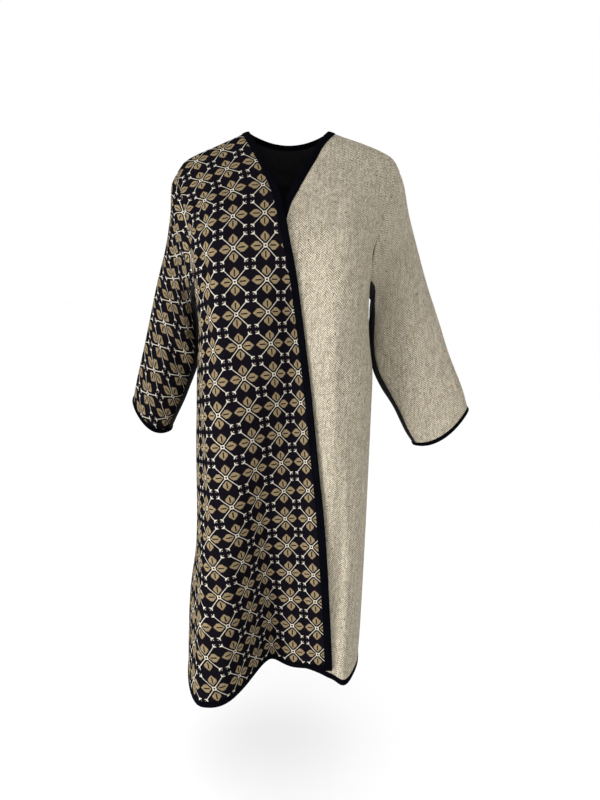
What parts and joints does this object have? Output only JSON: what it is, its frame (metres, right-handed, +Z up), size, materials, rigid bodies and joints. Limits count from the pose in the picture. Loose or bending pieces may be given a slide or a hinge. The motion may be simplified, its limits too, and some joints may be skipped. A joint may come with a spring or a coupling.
{
  "type": "abaya",
  "caption": "Long open-front robe with a lapped front in two cloths, plain back, wide sleeves and folded binding, in its hollow worn form.",
  "frame": {"origin": "midway between the two neck points, on the shoulder line that carries the garment", "axes": "+Z up from hem to neck, -Y to the front, +X to the wearer's left"},
  "size_m": [0.7653, 0.3601, 1.2189],
  "materials": {
    "embroidered_cloth": "matt black cloth with a raised tan and cream embroidered repeat",
    "tweed_cloth": "oatmeal herringbone tweed with coloured flecks",
    "black_cloth": "matt plain black cloth",
    "binding": "folded black binding tape"
  },
  "bodies": {
    "root": {"front_right": "embroidered_cloth", "front_left": "tweed_cloth", "back": "black_cloth", "sleeve_right_front": "embroidered_cloth", "sleeve_right_back": "black_cloth", "sleeve_left_front": "tweed_cloth", "sleeve_left_back": "black_cloth", "binding_front_right": "binding", "binding_front_left": "binding", "binding_neck_back": "binding", "binding_hem_right": "binding", "binding_hem_left": "binding", "binding_hem_back": "binding", "binding_cuff_right": "binding", "binding_cuff_left": "binding"}
  },
  "joints": []
}
